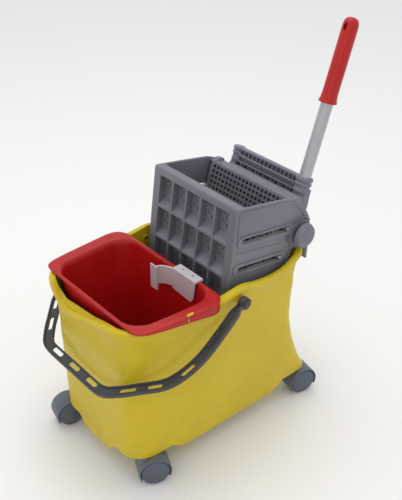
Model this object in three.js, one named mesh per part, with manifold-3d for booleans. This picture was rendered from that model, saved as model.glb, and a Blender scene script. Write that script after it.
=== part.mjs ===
// Wheeled mop bucket with a lift-out inner bucket, a carrying bail and a lever press wringer.
// Millimetres, +Z up. The carrying bow is at -Y, the wringer and its lever at +Y.
import * as THREE from 'three';
import { mergeVertices } from 'three/addons/utils/BufferGeometryUtils.js';
import Module from 'manifold-3d';

const wasm = await Module();
wasm.setup();

// ---------------------------------------------------------------- driving dimensions
const ORIGIN_Y = 105.34;            // shift that centres the bounding box on the origin

const WALL = 3.5;                 // tub wall
const TUB_FLOOR = 34;             // underside of the tub's middle
const POD_FLOOR = 58;             // underside of the four corner pods
const BAND = 13;                  // height of the rolled rim band
// outer skin of the tub: height, half width, front, rear, front corner radius
const TUB_SKIN = [
  [34, 114, -127, 264, 40],
  [37, 118, -131, 268, 42],
  [58, 121, -132, 297, 46],
  [75, 121.7, -132.2, 288, 46],
  [95, 122.5, -132.5, 279, 46],
  [117, 123.5, -132.8, 270, 46],
  [150, 125, -133, 258.5, 46],
  [180, 126.3, -133.3, 251.5, 46],
  [212, 127.5, -133.6, 246.5, 45],
  [250, 129, -134.2, 247.5, 44],
  [290, 131, -135, 251, 43],
];
const RIM_WALL = [135.5, -137.5, 257.5, 42];     // wall just under the band
const RIM_OUT = [141.5, -143.5, 264, 47];        // band at its widest
const REAR_CORNER = 0.5;          // rear corner radius over the front one
const BULGE_Y = 30;               // where the tub is widest
const BULGE_FRONT = 0.0775;       // loss of half width at the front corners
const BULGE_REAR = 0.095;         // loss of half width at the rear corners
// rim height along the sides: y, z
const RIM_SIDE = [
  [-120, 344.6], [-100, 345.4], [36, 345.4], [50, 343.4], [72, 345.6], [98, 348.2], [122, 342],
  [147, 337], [180, 333.5], [209, 336], [229, 344], [247, 350.5], [260, 352.5],
];
// rim height along the front: x, z
const RIM_FRONT = [
  [-126, 344.6], [-113, 343], [-100, 335], [-88, 324], [-75, 314.5], [-56, 310.5], [-28, 313.5],
  [0, 319.5], [30, 327.5], [60, 335], [88, 340.5], [112, 343.5], [126, 344.6],
];

const INNER_WALL = 3;             // inner bucket wall
const INNER_TOP = 350;            // top of the inner bucket's flange
const FLANGE = 4;                 // thickness of that flange
const INNER_TAPER = 0.08;         // loss of half width at the inner bucket's front
// flange outline, right half: x, y
const FLANGE_HALF = [
  [0, -127.5], [112, -127.5], [127, -125.5], [135.5, -119], [139.5, -108], [143.5, -80], [147, -45],
  [150, -10], [151.5, 10], [151, 26], [146, 38], [136, 45.5], [122, 48.5], [0, 48.5],
];
// inside of the inner bucket: height, half width, front, rear, corner radius
const INNER_CAVITY = [
  [112, 94, -99, 20, 26],
  [116, 97, -102, 23, 29],
  [235, 110, -110.5, 32, 31],
  [338, 122, -118, 39.5, 33],
  [347, 126, -120, 41, 34],
  [353, 131, -122.5, 43, 37],
];

const LUG_AT = [144.5, -26];      // slot in the flange's right side, x and y

const BAIL_PIVOT = [148, 90, 321.5];
const BAIL_DROOP = 21;            // degrees below horizontal at rest
// bail centreline, right half: sideways from the middle, distance from the pivot
const BAIL_HALF = [
  [148, 0], [148.3, 14], [152.2, 30], [157, 48], [162, 70], [168, 96], [172, 120], [173, 143],
  [171, 165], [166, 186], [157, 202], [144, 216.5], [129, 232], [115, 247], [99, 261.5],
  [88, 269.5], [76, 273.5], [60, 274.5], [38, 274.5], [14, 274.5],
];

const STEM_X = 107;
const STEM_FRONT_Y = -106;
const STEM_REAR_Y = 267;
const WHEEL_R = 27;
const TRAIL = 18;
// caster: name, stem x, stem y, heading in degrees
const CASTERS = [
  ['front_right', STEM_X, STEM_FRONT_Y, -24],
  ['front_left', -STEM_X, STEM_FRONT_Y, 168],
  ['rear_right', STEM_X, STEM_REAR_Y, -12],
  ['rear_left', -STEM_X, STEM_REAR_Y, 38],
];

const WRINGER_AT = [0, 103.8, 480.5];   // top front edge of the wringer
const WRINGER_TILT = 7.7;         // degrees it leans to the rear
const CHEEK_OUT = 111.8;          // half width over the cheeks
const CHEEK = 5.4;                // cheek thickness
const WRINGER_H = 256;            // height of the wringer body
const FRONT_D = 17;               // depth of the cellular front
const CELL_COLS = 5;
const CELL_ROWS = 4;
const CELL_PITCH_X = 38.1;
const CELL_PITCH_Z = 61.3;
const CELL_TOP = 14.3;
const RIB = 4;
const SHAFT = [161, -78];         // lever shaft in the wringer's own y, z
const SHAFT_R = 7;
const PLATE_AT = [128, -61.8];    // upper guide rod in the wringer's own y, z
const PLATE_TILT = 10.5;
const PLATE_HALF = 101;
const PLATE_TOP = 52;
const PLATE_BOTTOM = -150;
const PLATE_PITCH = 22.5;
const ROD_R = 3.6;
const ROD_GAP = 55.1;             // distance between the two guide rods along the plate

const POST_X = [-83, 87];         // lever yoke: its two posts, the right one holding the tube
const POST_SCALE = [0.72, 1];
const YOKE_ARM = [[-94, -87.4], [95, 101.6]];     // faces of the two arms
const BEAM_FOOT = -35;            // beam along the tube's axis, from the tube's foot
const BEAM_TOP = 8;
const TUBE_FOOT = [87, 284.5, 464];
const TUBE_LEAN = 18.6;           // degrees the tube leans to the rear
const TUBE_LEN = 264;
const TUBE_R = 11;
const GRIP_R = 14;
const GRIP_TOP = 292;             // end of the grip from the tube's foot
const GRIP_LEN = 147;

// ---------------------------------------------------------------- materials
function plastic(color, roughness) {
  return new THREE.MeshStandardMaterial({ color, roughness, metalness: 0 });
}

function metal(color, roughness) {
  return new THREE.MeshStandardMaterial({ color, roughness, metalness: 1 });
}

const YELLOW = () => plastic(0xe3c41c, 0.42);
const RED = () => plastic(0xb32222, 0.4);
const GREY = () => plastic(0x7d7e86, 0.5);
const DARK = () => plastic(0x3c3c3e, 0.5);
const WHEEL_GREY = () => plastic(0x5a5f6b, 0.55);
const CLEAR = () => plastic(0xcfc6ca, 0.45);
const STEEL = () => metal(0xa4a6aa, 0.35);

// ---------------------------------------------------------------- geometry helpers
function weld(geometry) {
  const bare = geometry.clone();
  bare.deleteAttribute('normal');
  bare.deleteAttribute('uv');
  const merged = mergeVertices(bare, 1e-3);
  const kept = [];
  for (let i = 0; i < merged.index.count; i += 3) {
    const a = merged.index.getX(i);
    const b = merged.index.getX(i + 1);
    const c = merged.index.getX(i + 2);
    if (a !== b && b !== c && c !== a) kept.push(a, b, c);
  }
  merged.setIndex(kept);
  return merged;
}

function toSolid(geometry) {
  const g = weld(geometry);
  return new wasm.Manifold(new wasm.Mesh({
    numProp: 3,
    vertProperties: new Float32Array(g.attributes.position.array),
    triVerts: new Uint32Array(g.index.array),
  }));
}

function toGeometry(solid) {
  const mesh = solid.getMesh();
  const g = new THREE.BufferGeometry();
  g.setAttribute('position', new THREE.BufferAttribute(new Float32Array(mesh.vertProperties), 3));
  g.setIndex(Array.from(mesh.triVerts));
  g.computeVertexNormals();
  return g;
}

function join(first, ...others) {
  let solid = toSolid(first);
  for (const other of others) solid = solid.add(toSolid(other));
  return toGeometry(solid);
}

function cut(first, ...tools) {
  let solid = toSolid(first);
  for (const tool of tools) solid = solid.subtract(toSolid(tool));
  return toGeometry(solid);
}

function block(x0, x1, y0, y1, z0, z1) {
  const g = new THREE.BoxGeometry(x1 - x0, y1 - y0, z1 - z0);
  return g.translate((x0 + x1) / 2, (y0 + y1) / 2, (z0 + z1) / 2);
}

function extrude(points, depth) {
  const shape = new THREE.Shape(points.map(([u, v]) => new THREE.Vector2(u, v)));
  return new THREE.ExtrudeGeometry(shape, { depth, bevelEnabled: false, curveSegments: 8 });
}

// outline given as y, z and extruded along x
function prismX(points, x0, x1) {
  const basis = new THREE.Matrix4().makeBasis(
    new THREE.Vector3(0, 1, 0), new THREE.Vector3(0, 0, 1), new THREE.Vector3(1, 0, 0));
  return extrude(points, x1 - x0).applyMatrix4(basis).translate(x0, 0, 0);
}

// outline given as x, z and extruded along y
function prismY(points, y0, y1) {
  const basis = new THREE.Matrix4().makeBasis(
    new THREE.Vector3(1, 0, 0), new THREE.Vector3(0, 0, 1), new THREE.Vector3(0, -1, 0));
  return extrude(points, y1 - y0).applyMatrix4(basis).translate(0, y1, 0);
}

function prismZ(points, z0, z1) {
  return extrude(points, z1 - z0).translate(0, 0, z0);
}

function rodX(x0, x1, y, z, r, seg = 16) {
  const g = new THREE.CylinderGeometry(r, r, x1 - x0, seg);
  return g.rotateZ(Math.PI / 2).translate((x0 + x1) / 2, y, z);
}

function rodY(x, y0, y1, z, r, seg = 8) {
  return new THREE.CylinderGeometry(r, r, y1 - y0, seg).translate(x, (y0 + y1) / 2, z);
}

function rodZ(x, y, z0, z1, r, seg = 16) {
  const g = new THREE.CylinderGeometry(r, r, z1 - z0, seg);
  return g.rotateX(Math.PI / 2).translate(x, y, (z0 + z1) / 2);
}

// turned piece: profile of radius, height about +Z
function turned(profile, seg = 20) {
  const g = new THREE.LatheGeometry(profile.map(([r, h]) => new THREE.Vector2(r, h)), seg);
  return outward(weld(g.rotateX(Math.PI / 2)));
}

function signedVolume(g) {
  const p = g.attributes.position;
  const a = new THREE.Vector3();
  const b = new THREE.Vector3();
  const c = new THREE.Vector3();
  let sum = 0;
  for (let i = 0; i < g.index.count; i += 3) {
    a.fromBufferAttribute(p, g.index.getX(i));
    b.fromBufferAttribute(p, g.index.getX(i + 1));
    c.fromBufferAttribute(p, g.index.getX(i + 2));
    sum += a.dot(b.cross(c));
  }
  return sum / 6;
}

function outward(g) {
  if (signedVolume(g) < 0) {
    const flipped = [];
    for (let i = 0; i < g.index.count; i += 3) {
      flipped.push(g.index.getX(i), g.index.getX(i + 2), g.index.getX(i + 1));
    }
    g.setIndex(flipped);
  }
  g.computeVertexNormals();
  return g;
}

// skin through rings of equal length, its two ends closed with the given end triangles
function skin(rings, ends) {
  const n = rings[0].length;
  const points = rings.flat();
  const index = [];
  for (let k = 0; k + 1 < rings.length; k += 1) {
    for (let i = 0; i < n; i += 1) {
      const a = k * n + i;
      const b = k * n + (i + 1) % n;
      index.push(a, b, b + n, a, b + n, a + n);
    }
  }
  const last = (rings.length - 1) * n;
  for (const [a, b, c] of ends) {
    index.push(a, c, b);
    index.push(last + a, last + b, last + c);
  }
  const g = new THREE.BufferGeometry().setFromPoints(points);
  g.setIndex(index);
  return outward(g);
}

// triangles that fill a flat outline, turning the way the outline does
function fill(outline) {
  const triangles = THREE.ShapeUtils.triangulateShape(outline, []);
  return THREE.ShapeUtils.isClockWise(outline) ? triangles.map(([a, b, c]) => [a, c, b]) : triangles;
}

function level(rings) {
  return skin(rings, fill(rings[0].map((p) => new THREE.Vector2(p.x, p.y))));
}

// height read off a table of knots, eased between them
function ease(table, t) {
  if (t <= table[0][0]) return table[0][1];
  for (let i = 1; i < table.length; i += 1) {
    if (t <= table[i][0]) {
      const [t0, v0] = table[i - 1];
      const [t1, v1] = table[i];
      const s = (t - t0) / (t1 - t0);
      return v0 + (v1 - v0) * s * s * (3 - 2 * s);
    }
  }
  return table[table.length - 1][1];
}

// rounded rectangle of 48 points in plan, anticlockwise from the front's right corner
function plan(half, front, rear, radius, rearRadius = radius) {
  const points = [];
  const corner = (cx, cy, from, r) => {
    for (let i = 0; i <= 5; i += 1) {
      const a = from + (i / 5) * Math.PI / 2;
      points.push([cx + r * Math.cos(a), cy + r * Math.sin(a)]);
    }
  };
  const run = (x0, y0, x1, y1, count) => {
    for (let i = 1; i <= count; i += 1) {
      const s = i / (count + 1);
      points.push([x0 + (x1 - x0) * s, y0 + (y1 - y0) * s]);
    }
  };
  const cx = half - radius;
  const dx = half - rearRadius;
  corner(cx, front + radius, -Math.PI / 2, radius);
  run(half, front + radius, half, rear - rearRadius, 7);
  corner(dx, rear - rearRadius, 0, rearRadius);
  run(dx, rear, -dx, rear, 3);
  corner(-dx, rear - rearRadius, Math.PI / 2, rearRadius);
  run(-half, rear - rearRadius, -half, front + radius, 7);
  corner(-cx, front + radius, Math.PI, radius);
  run(-cx, front, cx, front, 7);
  return points;
}

// ---------------------------------------------------------------- tub
function bulged([x, y], z) {
  const grow = THREE.MathUtils.clamp((z - 60) / 260, 0, 1);
  const d = (y - BULGE_Y) / (y < BULGE_Y ? 150 : 218);
  const loss = (y < BULGE_Y ? BULGE_FRONT : BULGE_REAR) * d * d;
  return [x * (1 - loss * grow), y];
}

function rimHeight(x, y) {
  const side = ease(RIM_SIDE, y);
  const front = ease(RIM_FRONT, x);
  const s = THREE.MathUtils.clamp((-y - 120) / 12, 0, 1);
  return side + (front - side) * s;
}

function tubRing(z, half, front, rear, radius) {
  return plan(half, front, rear, radius, radius * REAR_CORNER)
    .map((p) => bulged(p, z))
    .map(([x, y]) => new THREE.Vector3(x, y, z));
}

function rimRing(drop, [half, front, rear, radius], step = 0) {
  return plan(half - step, front + step, rear - step, radius - step, radius * REAR_CORNER - step)
    .map((p) => bulged(p, 345))
    .map(([x, y]) => new THREE.Vector3(x, y, rimHeight(x, y) - drop));
}

function tubOutside() {
  const rings = TUB_SKIN.map((row) => tubRing(...row));
  rings.push(rimRing(BAND + 1.5, RIM_WALL));
  rings.push(rimRing(BAND, RIM_OUT, 1));
  rings.push(rimRing(2.5, RIM_OUT));
  rings.push(rimRing(0, RIM_OUT, 2.5));
  rings.push(rimRing(0, RIM_WALL, 6));
  return level(rings);
}

function tubInside() {
  const rings = [];
  const w = WALL;
  for (const row of [1, 2, 4, 6, 8, 10]) {
    const [z, half, front, rear, radius] = TUB_SKIN[row];
    rings.push(tubRing(Math.max(z, TUB_FLOOR + 4), half - w, front + w, rear - w, radius - w));
  }
  rings.push(tubRing(312, RIM_WALL[0] - 5, RIM_WALL[1] + 5, RIM_WALL[2] - 5, RIM_WALL[3] - 4));
  rings.push(tubRing(400, RIM_WALL[0] - 4, RIM_WALL[1] + 4, RIM_WALL[2] - 4, RIM_WALL[3] - 4));
  return level(rings);
}

// space under one corner pod; sx and sy give the corner, grow thickens it
function podSpace(sx, sy, grow) {
  const edge = sy < 0 ? -50 : 227;
  const reach = sy < 0 ? -260 : 420;
  const ring = (z, ax, ay) => {
    const x = sx * (56 - ax - grow);
    const y = edge - sy * (ay + grow);
    const x2 = x + sx * 30;
    const y2 = y + sy * 30;
    return [
      new THREE.Vector3(x, reach, z), new THREE.Vector3(x, y2, z),
      new THREE.Vector3(x + sx * 9, y + sy * 9, z), new THREE.Vector3(x2, y, z),
      new THREE.Vector3(sx * 260, y, z), new THREE.Vector3(sx * 260, reach, z),
    ];
  };
  return level([
    ring(20, 22, 32), ring(38, 20, 28), ring(45, 11, 17),
    ring(POD_FLOOR - 4 + grow, 3, 5), ring(POD_FLOOR + grow, 0, 0),
  ]);
}

const CORNERS = [[1, -1], [-1, -1], [1, 1], [-1, 1]];

function stemY(sy) {
  return sy < 0 ? STEM_FRONT_Y : STEM_REAR_Y;
}

function tub() {
  let body = toSolid(tubOutside());
  let hollow = toSolid(tubInside());
  for (const [sx, sy] of CORNERS) {
    body = body.subtract(toSolid(podSpace(sx, sy, 0)));
    hollow = hollow.subtract(toSolid(podSpace(sx, sy, WALL)));
    hollow = hollow.subtract(toSolid(rodZ(sx * STEM_X, stemY(sy), 50, 84, 9.5, 14)));
  }
  body = body.subtract(hollow);
  for (const [sx, sy] of CORNERS) {
    body = body.subtract(toSolid(rodZ(sx * STEM_X, stemY(sy), 50, 80, 5.6, 14)));
  }
  body = body.add(toSolid(lug()));
  for (const sx of [-1, 1]) {
    const y = BAIL_PIVOT[1];
    const z = BAIL_PIVOT[2];
    const boss = sx * 134.4;
    body = body.add(toSolid(rodX(boss - 7, boss + 7, y, z, 8.5, 14)));
    body = body.subtract(toSolid(rodX(boss - 15, boss + 15, y, z, 4.3, 12)));
  }
  return toGeometry(body);
}

// ---------------------------------------------------------------- inner bucket
function mirrored(half) {
  const left = half.filter(([x]) => x > 0).map(([x, y]) => [-x, y]).reverse();
  return half.filter(([x]) => x > 0).concat(left);
}

function innerRings(grow, drop) {
  return INNER_CAVITY.map(([z, half, front, rear, radius], i) => {
    const low = i < 2 ? drop : 0;
    return plan(half + grow, front - grow, rear + grow, radius + grow).map(([x, y]) => {
      const d = Math.max(0, 30 - y) / 150;
      return new THREE.Vector3(x * (1 - INNER_TAPER * d * d), y, z - low);
    });
  });
}

function innerBucket() {
  const outline = mirrored(FLANGE_HALF);
  const shell = innerRings(INNER_WALL, INNER_WALL).slice(0, 5);
  let body = toSolid(level(shell));
  body = body.add(toSolid(prismZ(outline, INNER_TOP - FLANGE, INNER_TOP)));
  for (const sx of [-1, 1]) body = body.add(toSolid(lip(sx)));
  return toGeometry(body.subtract(toSolid(level(innerRings(0, 0)))).subtract(toSolid(flangeSlot())));
}

// lip that hangs from the flange outside the tub's rim, deeper towards the rear
function lip(sx) {
  const path = FLANGE_HALF.slice(4, 11);
  const rings = path.map(([x, y], i) => {
    const deep = [8, 11, 13, 16, 20, 20, 12][i];
    const top = INNER_TOP - 1;
    return [
      new THREE.Vector3(sx * x, y, top), new THREE.Vector3(sx * (x - 2.6), y, top),
      new THREE.Vector3(sx * (x - 2.6), y, INNER_TOP - deep),
      new THREE.Vector3(sx * x, y, INNER_TOP - deep),
    ];
  });
  return skin(rings, [[0, 1, 2], [0, 2, 3]]);
}

function flangeSlot() {
  const [x, y] = LUG_AT;
  return block(x - 3, x + 3, y - 8, y + 8, INNER_TOP - 25, INNER_TOP + 4);
}

// lug of the tub's rim that keys the inner bucket's slot
function lug() {
  const [x, y] = LUG_AT;
  return join(
    block(x - 8, x + 2.4, y - 7, y + 7, 337, INNER_TOP - FLANGE - 0.4),
    block(x - 2.4, x + 2.4, y - 7, y + 7, 338, INNER_TOP + 0.8));
}

// moulded holder clipped over the inner bucket's rear rim, with a curved arm that reaches forward
function rimHolder() {
  const top = INNER_TOP + 0.3;
  const saddle = block(23, 84, 33.2, 52.4, top, top + 4);
  const inside = prismY([[23, top + 4], [23, 312], [72, 308], [80, 318], [84, top + 4]], 33.2, 36);
  const outside = block(28, 80, 49.4, 52.4, 334, top + 4);
  const arm = prismZ([
    [24, 36], [22, 34.8], [12, 31], [4, 24.4], [-1, 15], [1.6, 14], [6.4, 22.4], [13.6, 28.2], [24, 31.6],
    [32, 33.4], [32, 36],
  ], 318, top + 4);
  const tab = block(-13, 5, 12.6, 15.6, 306, top + 4);
  const holder = join(saddle, inside, outside, arm, tab);
  return cut(holder, rodZ(40, 45, 342, 362, 2.2, 10), rodZ(66, 45, 342, 362, 2.2, 10));
}

// ---------------------------------------------------------------- bail
function bail() {
  const droop = THREE.MathUtils.degToRad(BAIL_DROOP);
  const along = new THREE.Vector3(0, -Math.cos(droop), -Math.sin(droop));
  const normal = new THREE.Vector3(0, -Math.sin(droop), Math.cos(droop));
  const origin = new THREE.Vector3(0, BAIL_PIVOT[1], BAIL_PIVOT[2]);
  const left = BAIL_HALF.map(([x, s]) => [-x, s]).reverse();
  const path = BAIL_HALF.concat(left);
  const place = (u, s, h) => origin.clone()
    .add(new THREE.Vector3(u, 0, 0)).addScaledVector(along, s).addScaledVector(normal, h);
  const rings = path.map(([x, s], i) => {
    const before = path[Math.max(i - 1, 0)];
    const after = path[Math.min(i + 1, path.length - 1)];
    const dir = new THREE.Vector2(after[0] - before[0], after[1] - before[1]).normalize();
    const side = new THREE.Vector2(-dir.y, dir.x);
    const end = Math.min(i, path.length - 1 - i);
    const w = end < 2 ? 6 : 9.5;
    return iSection(w, 4.6, 3.4, 1.9)
      .map(([a, h]) => place(x + side.x * a, s + side.y * a, h));
  });
  const ends = fill(iSection(1, 1, 0.4, 0.4).map(([a, h]) => new THREE.Vector2(a, h)));
  let body = toSolid(skin(rings, ends));
  for (const [x, s, turn, long] of bailSlots()) {
    const slot = new THREE.BoxGeometry(long, 8.5, 20);
    const frame = new THREE.Matrix4().makeBasis(
      new THREE.Vector3(1, 0, 0), along, new THREE.Vector3(1, 0, 0).cross(along));
    slot.rotateZ(THREE.MathUtils.degToRad(turn)).applyMatrix4(frame);
    const at = place(x, s, 0);
    body = body.subtract(toSolid(slot.translate(at.x, at.y, at.z)));
  }
  for (const sx of [-1, 1]) {
    const x = sx * BAIL_PIVOT[0];
    body = body.add(toSolid(rodX(x - 6, x + 6, BAIL_PIVOT[1], BAIL_PIVOT[2], 11, 18)));
    body = body.subtract(toSolid(rodX(x - 9, x + 9, BAIL_PIVOT[1], BAIL_PIVOT[2], 4.4, 14)));
  }
  return toGeometry(body);
}

// I-shaped section: half width, half height, edge width, half web
function iSection(w, h, edge, web) {
  return [
    [-w, -h], [-w + edge, -h], [-w + edge, -web], [w - edge, -web], [w - edge, -h], [w, -h],
    [w, h], [w - edge, h], [w - edge, web], [-w + edge, web], [-w + edge, h], [-w, h],
  ];
}

// slots through the bail's web: sideways, along, turn in degrees, length
function bailSlots() {
  const slots = [[0, 272.5, 0, 30], [-52, 272.5, 0, 30], [52, 272.5, 0, 30]];
  for (const sx of [-1, 1]) {
    slots.push([sx * 118, 243, sx * -45, 30]);
    slots.push([sx * 150.5, 209.5, sx * -47, 26]);
    slots.push([sx * 171.8, 154, sx * -88, 28]);
  }
  return slots;
}

function bailPin(sx) {
  const pin = turned([[0, 0], [4, 0], [4, 23.2], [7.5, 23.2], [6.4, 26], [0, 26.6]], 14);
  pin.rotateY(sx * Math.PI / 2).translate(sx * 131.5, BAIL_PIVOT[1], BAIL_PIVOT[2]);
  return pin;
}

// ---------------------------------------------------------------- casters
// own frame: swivel axis on z, wheels trailing at +y
function casterHood() {
  const arc = [];
  const inside = [];
  for (let i = 0; i <= 10; i += 1) {
    const a = THREE.MathUtils.degToRad(-28 + (i / 10) * 236);
    arc.push([TRAIL + 30 * Math.cos(a), WHEEL_R + 30 * Math.sin(a)]);
    inside.push([TRAIL + 27.8 * Math.cos(a), WHEEL_R + 27.8 * Math.sin(a)]);
  }
  const fender = prismX(arc.concat(inside.reverse()), -19.5, 19.5);
  const web = prismX(arc, -3.4, 3.4);
  const neck = rodZ(0, 0, 38, POD_FLOOR - 0.4, 10, 16);
  const inWheels = join(
    rodX(-23.2, -3.9, TRAIL, WHEEL_R, WHEEL_R + 1, 16), rodX(3.9, 23.2, TRAIL, WHEEL_R, WHEEL_R + 1, 16));
  const hood = join(cut(join(web, neck), inWheels), fender);
  return cut(hood, rodX(-30, 30, TRAIL, WHEEL_R, 3.3, 12), rodZ(0, 0, 51.2, 70, 5.2, 12));
}

function casterStem() {
  return turned([[0, 51.6], [4.9, 51.6], [4.9, 77.5], [3.6, 79.5], [0, 79.5]], 12);
}

function casterAxle() {
  return rodX(-16, 16, TRAIL, WHEEL_R, 3, 10);
}

// half of the twin wheel: a dished disc with a blind bore on its inner face
function casterWheel(sx) {
  const wheel = turned([
    [0, 22.6], [18, 21.8], [25, 19.4], [WHEEL_R, 15.5], [WHEEL_R, 4.4], [3.4, 4.4], [3.4, 16.6], [0, 16.6],
  ], 16);
  return wheel.rotateY(sx * Math.PI / 2).translate(0, TRAIL, WHEEL_R);
}

// ---------------------------------------------------------------- wringer, in its own frame
function wringerFrame() {
  const m = new THREE.Matrix4().makeRotationX(-THREE.MathUtils.degToRad(WRINGER_TILT));
  return m.setPosition(...WRINGER_AT);
}

// brings geometry given in the tub's frame into the wringer's own
function fromTub(geometry) {
  return geometry.applyMatrix4(wringerFrame().invert());
}

function cheek(sx) {
  const outline = [
    [0.4, -WRINGER_H], [0.4, -4], [4, -0.6], [10, 0], [126, -4.5], [138, -7.6], [150, -14.5],
    [167, -29.6], [182, -48.7], [189, -66], [191, -80], [190, -95], [186, -103], [155, -103],
    [150, -110], [145, -165], [122, -212], [84, -WRINGER_H],
  ].reverse();
  const x0 = sx > 0 ? CHEEK_OUT - CHEEK : -CHEEK_OUT;
  return prismX(outline, x0, x0 + CHEEK);
}

// stadium in the cheek's own y, z
function stadium(y0, y1, z, r) {
  const points = [];
  for (let i = 0; i < 12; i += 1) {
    const a = -Math.PI / 2 + (i / 12) * Math.PI * 2 + Math.PI / 12;
    const end = Math.cos(a) > 0 ? y1 - r : y0 + r;
    points.push([end + r * Math.cos(a), z + r * Math.sin(a)]);
  }
  return points;
}

function cheekTrim(sx) {
  const raise = (points, t) => (sx > 0
    ? prismX(points, CHEEK_OUT - 0.5, CHEEK_OUT + t) : prismX(points, -CHEEK_OUT - t, -CHEEK_OUT + 0.5));
  return join(
    raise(stadium(8, 142, -63.8, 11), 2.2), raise(stadium(6, 132, -115.2, 10), 2.2),
    rodX(sx > 0 ? CHEEK_OUT - 1 : -CHEEK_OUT - 4.4, sx > 0 ? CHEEK_OUT + 4.4 : -CHEEK_OUT + 1,
      SHAFT[0], SHAFT[1], 27, 24));
}

function cellFront() {
  const wall = block(-CHEEK_OUT + 0.5, CHEEK_OUT - 0.5, 0, FRONT_D, -WRINGER_H, 0);
  const tools = [];
  const half = (CELL_COLS - 1) / 2;
  for (let row = 0; row < CELL_ROWS; row += 1) {
    const z1 = -CELL_TOP - row * CELL_PITCH_Z;
    const z0 = Math.max(z1 - CELL_PITCH_Z + RIB, -WRINGER_H + 6);
    for (let col = 0; col < CELL_COLS; col += 1) {
      const x = (col - half) * CELL_PITCH_X;
      const w = CELL_PITCH_X / 2 - RIB / 2;
      tools.push(prismX([[-1, z0 - 0.2], [FRONT_D - 3.2, z0 + 12], [FRONT_D - 3.2, z1], [-1, z1]], x - w, x + w));
      tools.push(rodY(x, FRONT_D - 5, FRONT_D + 2, z1 - 22, 4.5, 6));
    }
  }
  return cut(wall, ...tools);
}

// hook that carries the wringer on the tub's rear rim
function rearHook(sx) {
  const x0 = sx > 0 ? CHEEK_OUT - CHEEK : -CHEEK_OUT - 4;
  const x1 = x0 + CHEEK + 4;
  const outline = [
    [250, 354.4], [271, 354.4], [270.5, 324], [274.5, 320], [277, 355], [277, 361], [271, 367], [250, 367],
  ];
  return fromTub(prismX(outline, x0, x1));
}

function wringerBody() {
  const floorGrate = block(-CHEEK_OUT + 1, CHEEK_OUT - 1, 2, 84, -WRINGER_H, -WRINGER_H + 5);
  const slope = prismX([[80, -WRINGER_H + 5], [83, -WRINGER_H], [122, -212], [119, -208]],
    -CHEEK_OUT + 1, CHEEK_OUT - 1);
  const rearBar = block(-CHEEK_OUT + 1, CHEEK_OUT - 1, 143, 158, -20, -9);
  const rearWeb = block(-CHEEK_OUT + 1, CHEEK_OUT - 1, 141, 145, -60, -9);
  const topRail = block(-CHEEK_OUT + 0.5, CHEEK_OUT - 0.5, 0, 19, -11, 0);
  let body = toSolid(cellFront());
  for (const g of [topRail, floorGrate, slope, rearBar, rearWeb, cheek(-1), cheek(1), cheekTrim(-1), cheekTrim(1),
    rearHook(-1), rearHook(1)]) {
    body = body.add(toSolid(g));
  }
  for (const y of [24, 43, 62]) {
    body = body.subtract(toSolid(block(-96, 96, y, y + 10, -WRINGER_H - 2, -WRINGER_H + 7)));
  }
  body = body.subtract(toSolid(block(-96, -76, 140, 160, -14, 0)));
  for (const slot of [stadium(18, 133, -61.8, 5.2), stadium(16, 123, -116, 5.2)]) {
    body = body.subtract(toSolid(prismX(slot, -120, 120)));
  }
  body = body.subtract(toSolid(rodX(-130, 130, SHAFT[0], SHAFT[1], SHAFT_R + 0.4, 20)));
  return toGeometry(body);
}

// press plate in its own frame: z along the plate, y through it
function pressPlate() {
  const face = block(-PLATE_HALF, PLATE_HALF, -3.2, 0, PLATE_BOTTOM, PLATE_TOP);
  const tools = [];
  const cols = 8;
  const rows = 8;
  for (let r = 0; r < rows; r += 1) {
    for (let c = 0; c < cols; c += 1) {
      const x = (c - (cols - 1) / 2) * PLATE_PITCH;
      const z = PLATE_TOP - 15 - r * PLATE_PITCH;
      tools.push(block(x - 8, x + 8, -6, 3, z - 8, z + 8));
    }
  }
  let plate = toSolid(cut(face, ...tools));
  for (const z of [0, -ROD_GAP]) {
    for (const x of [-93.4, 0, 93.4]) {
      plate = plate.add(toSolid(block(x - 4, x + 4, -1, 10.5, z - 7, z + 7)));
    }
    plate = plate.subtract(toSolid(rodX(-110, 110, 4.6, z, ROD_R + 0.2, 12)));
  }
  plate = plate.add(toSolid(block(-PLATE_HALF, PLATE_HALF, -0.5, 4, PLATE_BOTTOM, PLATE_BOTTOM + 5)));
  return toGeometry(plate);
}

function guideRod() {
  return rodX(-CHEEK_OUT - 4, CHEEK_OUT + 4, 0, 0, ROD_R, 12);
}

function leverShaft() {
  return rodX(-124.6, 124.6, SHAFT[0], SHAFT[1], SHAFT_R, 18);
}

// arm keyed to the shaft whose rounded end pushes the press plate
function camArm(sx) {
  const a = THREE.MathUtils.degToRad(20);
  const tip = [SHAFT[0] - 88 * Math.sin(a), SHAFT[1] - 88 * Math.cos(a)];
  const dir = new THREE.Vector2(tip[0] - SHAFT[0], tip[1] - SHAFT[1]).normalize();
  const side = [-dir.y, dir.x];
  const bar = [
    [SHAFT[0] + side[0] * 7, SHAFT[1] + side[1] * 7], [SHAFT[0] - side[0] * 7, SHAFT[1] - side[1] * 7],
    [tip[0] - side[0] * 5, tip[1] - side[1] * 5], [tip[0] + side[0] * 5, tip[1] + side[1] * 5],
  ].reverse();
  const x0 = sx * 74 - 4;
  const arm = join(
    prismX(bar, x0, x0 + 8), rodX(x0 - 1, x0 + 9, SHAFT[0], SHAFT[1], 11.5, 16),
    rodX(x0 - 2, x0 + 10, tip[0], tip[1], 5, 12));
  return cut(arm, rodX(x0 - 5, x0 + 13, SHAFT[0], SHAFT[1], SHAFT_R + 0.3, 18));
}

function hubCap(sx) {
  const cap = turned([
    [0, 136.4], [12, 136], [19.5, 133.6], [23, 129.6], [24, 125], [0, 125],
  ], 24);
  return cap.rotateY(sx * Math.PI / 2).translate(0, SHAFT[0], SHAFT[1]);
}

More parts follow.
